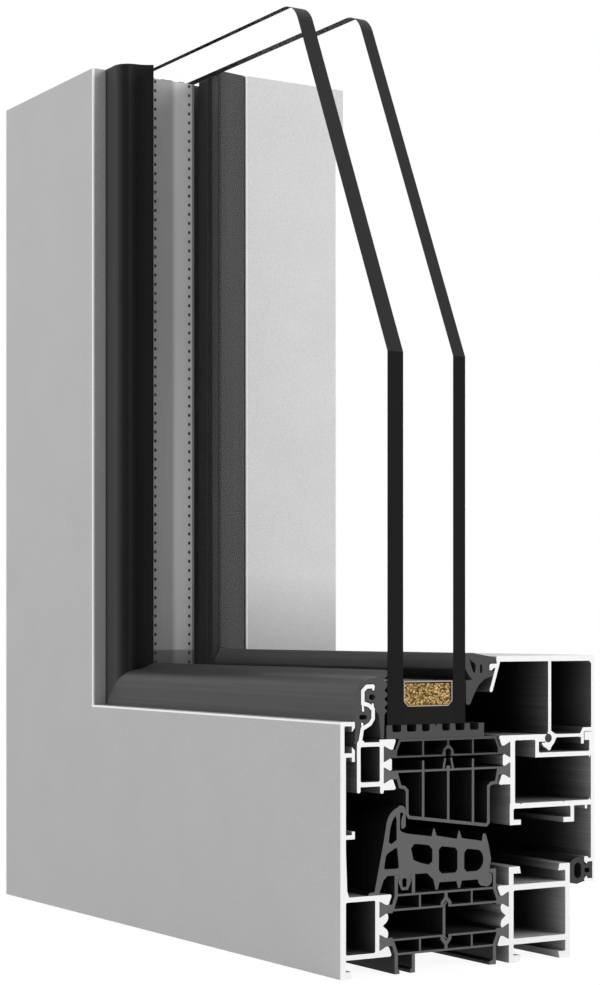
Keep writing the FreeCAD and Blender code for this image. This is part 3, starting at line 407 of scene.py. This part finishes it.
def inner_gasket_tones(tree, at):
    """The inner gasket is paler where it lies against the glass, painted paler towards its top on the
    bottom member as painted light, with a painted shade line along its top there on the upright, and
    dark in its mitre."""
    rise, across = at["Rise"], at["Across"]
    plain_tone, upright_tone, joint_and_shade_tone = 0.05, 0.095, 0.022
    seam_width = 0.4
    lip = times(tree, below(tree, across, 39.9), above(tree, rise, 78.6))
    pale = blend(tree, at["Upright"], spread(tree, rise, 79.0, 83.6, 0.085, 0.18), upright_tone)
    rim = times(tree, below(tree, across, 40.4), above(tree, rise, 83.4), at["Upright"])
    seam = below(tree, calc(tree, "SUBTRACT", at["Along"], rise), seam_width)
    return blend(tree, any_of(tree, [rim, seam]), blend(tree, lip, plain_tone, pale), joint_and_shade_tone)


def glass(name, index):
    """Clear coated float glass, with dark ground edges that are painted paler where they face up, as
    painted light.
    """
    material, tree, shader, at = start(name)
    normal = add(tree, "ShaderNodeNewGeometry").outputs["True Normal"]
    parts = add(tree, "ShaderNodeSeparateXYZ", Vector=normal)
    edge = below(tree, calc(tree, "ABSOLUTE", parts.outputs[1]), EDGE_TURN)
    grind = noise(tree, at["Level"], scale=2.4, detail=4.0)
    # Painted light: the ground edges are painted paler where they face up
    edge_tone_with_painted_light = spread(tree, parts.outputs[2], 0.2, 0.6, 0.007, 0.034)
    tone = times(tree, vary(tree, grind, 1.0, share=0.2), edge_tone_with_painted_light)
    surface(shader, grey(tree, tone), spread(tree, grind, *MIDDLE, 0.4, 0.55), gloss=0.08,
            height=grind, depth=0.01, strength=0.4)
    clear = add(tree, "ShaderNodeBsdfRefraction", Color=(1.0, 1.0, 1.0), Roughness=0.0, IOR=index)
    mirror = add(tree, "ShaderNodeBsdfGlossy", Color=(1.0, 1.0, 1.0), Roughness=0.0)
    shine = times(tree, add(tree, "ShaderNodeFresnel", IOR=index).outputs[0], GLASS_SHINE)
    pane = mix_shaders(tree, shine, clear.outputs[0], mirror.outputs[0])
    shadow = add(tree, "ShaderNodeBsdfTransparent", Color=SHADOW_GLASS)
    is_shadow = tree.nodes.new("ShaderNodeLightPath").outputs["Is Shadow Ray"]
    face = mix_shaders(tree, is_shadow, pane, shadow.outputs[0])
    out = next(n for n in tree.nodes if n.type == "OUTPUT_MATERIAL")
    put(out.inputs["Surface"], mix_shaders(tree, edge, face, shader.outputs[0]))
    return material


def spacer_metal():
    """Thin rolled metal with fine lengthwise lines, beige on its cut ends. Its other tones are painted
    light: two painted tones across the upright, painted brighter lower down on it, and painted shade
    along its room side rim, on the bottom leg, close to the corner and on its side to the outer pane."""
    material, tree, shader, at = start("spacer_metal_rolled")
    across, along, upright = at["Across"], at["Along"], at["Upright"]
    lines = noise(tree, at["Place"], scale=1.0, detail=3.0, stretch=(9.0, 9.0, 0.03))
    middle = GAP_FACE + GAP / 2
    # Painted light and painted shade: the tones below stand for how light falls on the spacer
    near_tone, bottom_shade_tone, side_shade_tone = 0.36, 0.16, 0.02
    corner_end, corner_shade_share = 83.5, 0.5
    rim_width, rim_shade_share = 0.75, 0.42
    far_half = spread(tree, across, middle - 0.3, middle + 1.2)
    far_tone = spread(tree, across, middle, middle + 7.7, 0.6, 0.88)
    clear_of_corner = above(tree, along, corner_end)
    rim = above(tree, across, SPACER_RIGHT - rim_width)
    pale = times(tree, blend(tree, far_half, near_tone, far_tone),
                 blend(tree, clear_of_corner, corner_shade_share, 1.0),
                 spread(tree, along, 95.0, 190.0, 1.3, 1.0), blend(tree, rim, 1.0, rim_shade_share))
    tone = times(tree, blend(tree, upright, bottom_shade_tone, pale), vary(tree, lines, 1.0, share=0.08))
    side = below(tree, across, SPACER_LEFT + 0.1)
    tone = blend(tree, side, tone, side_shade_tone)
    top_end = times(tree, upright, above(tree, along, CORE_TOP - FACE_REACH))
    colour = blend(tree, any_of(tree, [at["Cut"], top_end]), grey(tree, tone), CUT_SPACER)
    surface(shader, colour, spread(tree, lines, *WIDE, 0.35, 0.5), gloss=0.15,
            height=lines, depth=0.01, strength=0.4)
    return material


def shade_fill(name, colour):
    """Painted shade: a dull dark tone that stands for the shade inside a recess, with a fine grain."""
    material, tree, shader, at = start(name)
    grain = noise(tree, at["Level"], scale=4.0, detail=2.0)
    shade = grey(tree, spread(tree, grain, *NARROW, 0.8, 1.2))
    surface(shader, blend(tree, 1.0, colour, shade, "MULTIPLY"),
            spread(tree, grain, *NARROW, 0.7, 0.9), gloss=0.05)
    return material


def granule_material():
    """Desiccant beads, each of its own tone from pale straw to brown."""
    material, tree, shader, at = start("desiccant_beads")
    ramp = tree.nodes.new("ShaderNodeValToRGB")
    put(ramp.inputs["Fac"], add(tree, "ShaderNodeNewGeometry").outputs["Random Per Island"])
    stops = ((0.0, (0.044, 0.020, 0.0055)), (0.2, (0.17, 0.09, 0.022)), (0.45, (0.50, 0.30, 0.09)),
             (0.8, (0.75, 0.54, 0.21)), (1.0, (0.95, 0.80, 0.48)))
    while len(ramp.color_ramp.elements) < len(stops):
        ramp.color_ramp.elements.new(0.5)
    for element, (position, colour) in zip(ramp.color_ramp.elements, stops):
        element.position = position
        element.color = (*colour, 1)
    pits = noise(tree, at["Level"], scale=9.0, detail=3.0)
    shade = grey(tree, spread(tree, pits, *NARROW, 0.8, 1.15))
    surface(shader, blend(tree, 1.0, ramp.outputs["Color"], shade, "MULTIPLY"),
            spread(tree, pits, *NARROW, 0.45, 0.7), gloss=0.5, height=pits, depth=0.03, strength=0.5)
    return material


def bead_painted_light(tree, at):
    """Painted light on the glazing bead: on the bottom member its top is painted paler than its room
    face, as a painted sheen. On the upright it is painted darker towards the corner as painted shade,
    and paler above that as painted light."""
    painted_top_sheen = 1.85
    upright_painted_light = spread(tree, at["Along"], 84.0, 108.0, 0.77, 1.23)
    top = above(tree, at["Rise"], 82.75)
    return blend(tree, top, 1.0, blend(tree, at["Upright"], painted_top_sheen, upright_painted_light))


# Rectangles of the section, as across low, high, rise low, high
# edges mark painted highlights; the inside and plain tones are set dark as painted shade of the hollows
# and grooves
FRAME_OUTER = aluminium("aluminium_frame_outer", inside=0.025, plain=0.1,
                        coated=[(-1, 0.4, -1, 67), (-1, 5, 65.15, 67)],
                        chambers=[(1.65, 10.82, 6.08, 19.82)], edges=[(-1, 0.6, 65.72, 67)])
FRAME_INNER = aluminium("aluminium_frame_inner", inside=0.15, plain=0.17,
                        coated=[(74.8, 76, -1, 27)], chambers=[(55.6, 73.5, 6.35, 19.55)])
SASH_OUTER = aluminium("aluminium_sash_outer", inside=0.025, plain=0.06,
                       coated=[(-1, 0.1, -1, 1)], chambers=[(6.15, 12.25, 50.5, 59.8)])
SASH_INNER = aluminium("aluminium_sash_inner", inside=0.085, plain=0.14,
                       coated=[(83.5, 85, -1, 90)],
                       chambers=[(56.1, 81.95, 42.95, 55.3), (56.1, 63.13, 54, 60.15),
                                 (64.23, 81.95, 56.45, 59.6), (55.6, 75.35, 38.5, 41.65)])
GLAZING_BEAD = aluminium("aluminium_bead", inside=0.045, plain=0.055, gloss=0.15, shade=bead_painted_light,
                         coated=[(83.5, 85, 60, 84), (48, 85, 82.75, 84), (48, 50.3, 81.1, 84)],
                         chambers=[(68.45, 82.6, 61.5, 81.5)], edges=[(49.8, 50.32, 82.5, 84)])
POLYAMIDE = plastic("polyamide_fibre", cut_tone=0.100, long_tone=0.02, speckle=0.22)
POLYAMIDE_DARK = plastic("polyamide_fibre_dark", cut_tone=0.064, long_tone=0.02, speckle=0.22)
SPACER = spacer_metal()
# Painted shade inside the spacer's recessed holes
HOLE = shade_fill("spacer_hole_shade", (0.07, 0.07, 0.07))
GRANULES = granule_material()
# Painted shade: the desiccant core behind the beads is dark brown for the shade between them
CORE = shade_fill("desiccant_core_shade", (0.06, 0.035, 0.015))

FINISH = {
    "frame_outer_shell": FRAME_OUTER,
    "frame_inner_shell": FRAME_INNER,
    "sash_outer_shell": SASH_OUTER,
    "sash_inner_shell": SASH_INNER,
    "glazing_bead": GLAZING_BEAD,
    "frame_upper_strip": POLYAMIDE,
    "frame_lower_strip": POLYAMIDE,
    "frame_divider": POLYAMIDE,
    "sash_upper_strip": POLYAMIDE_DARK,
    "sash_lower_strip": POLYAMIDE,
    "setting_strip": plastic("setting_plastic_grey", cut_tone=0.058, long_tone=0.04, speckle=0.1),
    "central_gasket": rubber("rubber_central", cut_tone=0.103, long_tone=0.008),
    "outer_glazing_gasket": rubber("rubber_outer", cut_tone=0.068, long_tone=outer_gasket_painted_light,
                                   gloss=0.06),
    "inner_glazing_gasket": rubber("rubber_inner", cut_tone=0.06, long_tone=inner_gasket_tones,
                                   rough=0.46),
    "rebate_gasket": rubber("rubber_rebate", cut_tone=0.045, long_tone=0.03),
    "bead_cord": rubber("rubber_cord", cut_tone=0.045, long_tone=0.04),
    "edge_sealant": rubber("sealant_black", cut_tone=0.010, long_tone=0.014, rough=0.55, gloss=0.08),
    "outer_pane": glass("clear_glass_outer", index=1.5),
    "inner_pane": glass("clear_glass_inner", index=1.1),
    "spacer_bar": SPACER,
    "desiccant_fill": GRANULES,
}
for name, node in nodes.items():
    family = name.removesuffix("_bottom").removesuffix("_upright")
    for slot in node.material_slots:
        slot.link = "OBJECT"
        slot.material = FINISH[family]


# Pieces
def keep_piece(name, bm, materials, node, smooth=False):
    """A mesh piece that stands for a CAD node and takes its finish slot."""
    bmesh.ops.recalc_face_normals(bm, faces=bm.faces)
    mesh = bpy.data.meshes.new(name)
    bm.to_mesh(mesh)
    bm.free()
    for face in mesh.polygons:
        face.use_smooth = smooth
    piece = bpy.data.objects.new(name, mesh)
    bpy.context.scene.collection.objects.link(piece)
    for material in materials:
        mesh.materials.append(material)
    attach(piece, "root")
    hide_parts(node)


def spacer_point(across, rise, along, upright):
    """A point of the spacer in metres in the part's frame. Its upright leg leans to the glass edge."""
    x, z = (rise - SPACER_LEAN, along) if upright else (along, rise)
    return Vector(((x - LENGTH / 2) * MM, (across - DEPTH / 2) * MM, z * MM))


def leg_start(rise, upright):
    """Where a leg of the spacer begins at the bend, along its member."""
    return rise if upright else rise - SPACER_LEAN


def outline_points(inset):
    """The spacer's section as across, rise points. The last side is the one to the gap."""
    left, right = SPACER_LEFT + inset, SPACER_RIGHT - inset
    low, high = SPACER_LOW + inset, SPACER_HIGH - inset
    cut = CHAMFER - inset * CHAMFER_LOSS
    return [(left, high), (left, low + cut), (left + cut, low), (right - cut, low),
            (right, low + cut), (right, high)]


def sides(ring):
    """A section's sides as pairs of points."""
    return list(zip(ring, ring[1:] + ring[:1]))


def leg_face(bm, first, second, end, upright):
    """The face along one leg over a side of the section, from the bend to an end."""
    points = ((*first, leg_start(first[1], upright)), (*second, leg_start(second[1], upright)),
              (*second, end), (*first, end))
    return bm.faces.new([bm.verts.new(spacer_point(*point, upright)) for point in points])


def end_face(bm, points, end, upright):
    """A face across a leg, over points of the section."""
    return bm.faces.new([bm.verts.new(spacer_point(*point, end, upright)) for point in points])


def lies_between(start_point, corner, end_point, centre):
    """True if the corner's direction from the centre falls between those of the two points."""
    def angle(p):
        return math.atan2(p[1] - centre[1], p[0] - centre[0]) % (2 * math.pi)
    a, b, c = angle(start_point), angle(corner), angle(end_point)
    return (b - a) % (2 * math.pi) < (c - a) % (2 * math.pi)


def spacer_face(bm, upright, end):
    """The face to the gap of one leg, with two rows of recessed holes, each in its own cell."""
    def vertex(across, along, rise=SPACER_HIGH):
        return bm.verts.new(spacer_point(across, rise, along, upright))

    begin = leg_start(SPACER_HIGH, upright)
    count = int((end - begin - HOLE_START) / HOLE_PITCH)
    first = end - HOLE_START
    half = HOLE_PITCH / 2
    wide, long = HOLE_REACH
    for row in HOLE_ROWS:
        for i in range(count):
            middle = first - i * HOLE_PITCH
            beyond = HOLE_START if i == 0 else half     # cell's reach towards the cut end
            rim, foot, cell = [], [], []
            for k in range(HOLE_SIDES):
                angle = 2 * math.pi * (k + 0.5) / HOLE_SIDES
                a, b = math.cos(angle), math.sin(angle)
                reach = half / max(abs(a), abs(b))
                rim.append(vertex(row + wide * a, middle + long * b))
                foot.append(vertex(row + wide * HOLE_TAPER * a, middle + long * HOLE_TAPER * b,
                                   SPACER_HIGH - HOLE_DEPTH))
                cell.append((row + reach * a, middle + reach * b * (beyond / half if b > 0 else 1)))
            corners = [(row + side * half, middle + edge)
                       for side, edge in ((1, beyond), (-1, beyond), (-1, -half), (1, -half))]
            cell_verts = [vertex(*point) for point in cell]
            corner_verts = {corner: vertex(*corner) for corner in corners}
            for k in range(HOLE_SIDES):
                j = (k + 1) % HOLE_SIDES
                between = [corner_verts[corner] for corner in corners
                           if lies_between(cell[k], corner, cell[j], (row, middle))]
                bm.faces.new([rim[k], cell_verts[k], *between, cell_verts[j], rim[j]])
                bm.faces.new([rim[k], rim[j], foot[j], foot[k]]).material_index = 1
            bm.faces.new(foot).material_index = 1
    far = first - (count - 0.5) * HOLE_PITCH
    left, right = SPACER_LEFT, SPACER_RIGHT
    bands = [(left, HOLE_ROWS[0] - half), (HOLE_ROWS[0] + half, HOLE_ROWS[1] - half),
             (HOLE_ROWS[1] + half, right)]
    for low, high in bands:
        bm.faces.new([vertex(low, far), vertex(high, far), vertex(high, end), vertex(low, end)])
    bm.faces.new([vertex(left, begin), vertex(right, begin), vertex(right, far), vertex(left, far)])


def spacer_piece():
    """The hollow spacer bar, bent round the corner, with its perforated face to the gap."""
    bm = bmesh.new()
    outer, inner = sides(outline_points(0)), sides(outline_points(WALL))
    for upright, end in LEGS:
        for first, second in outer[:-1] + inner:
            leg_face(bm, first, second, end, upright)
        for (a, b), (c, d) in zip(outer, inner):
            end_face(bm, (a, b, d, c), end, upright)
        spacer_face(bm, upright, end)
    bmesh.ops.remove_doubles(bm, verts=bm.verts, dist=1e-6)
    keep_piece("spacer_bar_perforated", bm, [SPACER, HOLE], "spacer_bar")


def granules_piece():
    """Desiccant: a core inside the spacer, painted dark as the shade between the beads, and loose beads
    that show at the two cut ends.
    """
    rng = random.Random(11)
    bm = bmesh.new()
    ring = outline_points(WALL + CORE_GAP)
    left, right = SPACER_LEFT + WALL, SPACER_RIGHT - WALL
    low, high = SPACER_LOW + WALL, SPACER_HIGH - WALL
    rows = int((high - low) / (BEAD_STEP * ROW_SHARE))
    for upright, end in LEGS:
        near = end - CORE_RECESS
        for first, second in sides(ring):
            leg_face(bm, first, second, near, upright).material_index = 1
        end_face(bm, ring, near, upright).material_index = 1
        for layer, depth in enumerate(LAYER_DEPTHS):
            for r in range(rows + 1):
                rise = low + ROW_MARGINS[0] + r * BEAD_STEP * ROW_SHARE
                if rise > high - ROW_MARGINS[1]:
                    continue
                inset = max(0.0, CHAMFER - CHAMFER_MARGIN - (rise - low))
                across = left + SIDE_MARGINS[0] + inset + (BEAD_STEP / 2 if (r + layer) % 2 else 0.0)
                while across < right - SIDE_MARGINS[1] - inset:
                    size = rng.uniform(*BEAD_SIZES)
                    nearest = size * BEAD_SQUASH[1] + END_CLEARANCE
                    spot = spacer_point(across + rng.uniform(*ACROSS_SHIFT),
                                        rise + rng.uniform(*RISE_SHIFT),
                                        end - max(depth + rng.uniform(*DEPTH_SHIFT), nearest),
                                        upright)
                    made = bmesh.ops.create_icosphere(bm, subdivisions=1, radius=size * MM)
                    squash = Vector([rng.uniform(*BEAD_SQUASH) for _ in range(3)])
                    for v in made["verts"]:
                        v.co = v.co * squash + spot
                    across += BEAD_STEP
    keep_piece("desiccant_granules", bm, [GRANULES, CORE], "desiccant_fill", smooth=True)


spacer_piece()
granules_piece()


# Floor, world and lamps
FLOOR_SIZE = 2.0
FLOOR_DROP = 0.0001         # keeps the floor clear of the sample's feet
FLOOR_GLOW = 0.93
FLOOR_TONE = (0.8, 0.8, 0.8)           # of the floor that lights the sample
SHADOW_TONE = (0.12, 0.12, 0.12)       # of the floor that is looked at, which dims in shadow
SKY_LIGHT = 0.42
LAMP_SIZE = 1.4
LAMP_TARGET = Vector((0, 0, 0.1))


def looked_at(tree, path):
    """1 for rays from the camera, from gloss and through glass, by a Light Path node."""
    kinds = ("Is Camera Ray", "Is Glossy Ray", "Is Transmission Ray")
    return any_of(tree, [path.outputs[kind] for kind in kinds])


def floor():
    """A floor that looks white but for the object's shadow, and lights the object as pale grey."""
    material = bpy.data.materials.new("studio_floor")
    material.use_nodes = True
    tree = material.node_tree
    tree.nodes.clear()
    out = tree.nodes.new("ShaderNodeOutputMaterial")
    seen = looked_at(tree, tree.nodes.new("ShaderNodeLightPath"))
    plain = add(tree, "ShaderNodeBsdfDiffuse", Color=FLOOR_TONE)
    shaded = add(tree, "ShaderNodeBsdfDiffuse", Color=SHADOW_TONE)
    glow = add(tree, "ShaderNodeEmission", Color=(1.0, 1.0, 1.0), Strength=FLOOR_GLOW)
    both = tree.nodes.new("ShaderNodeAddShader")
    put(both.inputs[0], shaded.outputs[0])
    put(both.inputs[1], glow.outputs[0])
    put(out.inputs["Surface"], mix_shaders(tree, seen, plain.outputs[0], both.outputs[0]))
    bm = bmesh.new()
    bmesh.ops.create_grid(bm, x_segments=8, y_segments=8, size=FLOOR_SIZE)
    mesh = bpy.data.meshes.new("studio_floor")
    bm.to_mesh(mesh)
    bm.free()
    mesh.materials.append(material)
    plane = bpy.data.objects.new("studio_floor", mesh)
    plane.location = (0, 0, -FLOOR_DROP)
    bpy.context.scene.collection.objects.link(plane)


def sky():
    """A world that looks white and lights the object softly."""
    world = bpy.data.worlds.new("studio")
    bpy.context.scene.world = world
    world.use_nodes = True
    world.cycles.sampling_method = "NONE"
    tree = world.node_tree
    tree.nodes.clear()
    out = tree.nodes.new("ShaderNodeOutputWorld")
    path = tree.nodes.new("ShaderNodeLightPath")
    unscattered = below(tree, path.outputs["Diffuse Depth"], 0.5)
    seen = times(tree, looked_at(tree, path), unscattered)
    white = add(tree, "ShaderNodeBackground", Color=(1.0, 1.0, 1.0), Strength=1.0)
    soft = add(tree, "ShaderNodeBackground", Color=(1.0, 1.0, 1.0), Strength=SKY_LIGHT)
    put(out.inputs["Surface"], mix_shaders(tree, seen, soft.outputs[0], white.outputs[0]))


def lamp(name, place, power):
    """Square soft lamp that faces the sample."""
    data = bpy.data.lights.new(name, "AREA")
    data.shape = "SQUARE"
    data.size = LAMP_SIZE
    data.energy = power
    made = bpy.data.objects.new(name, data)
    made.location = place
    made.rotation_euler = (LAMP_TARGET - Vector(place)).to_track_quat("-Z", "Y").to_euler()
    made.visible_camera = False
    made.visible_transmission = False
    made.visible_glossy = False
    bpy.context.scene.collection.objects.link(made)


floor()
sky()
lamp("key", place=(-0.8, -2.6, 1.3), power=41)
lamp("side", place=(2.2, 1.5, 0.9), power=65)
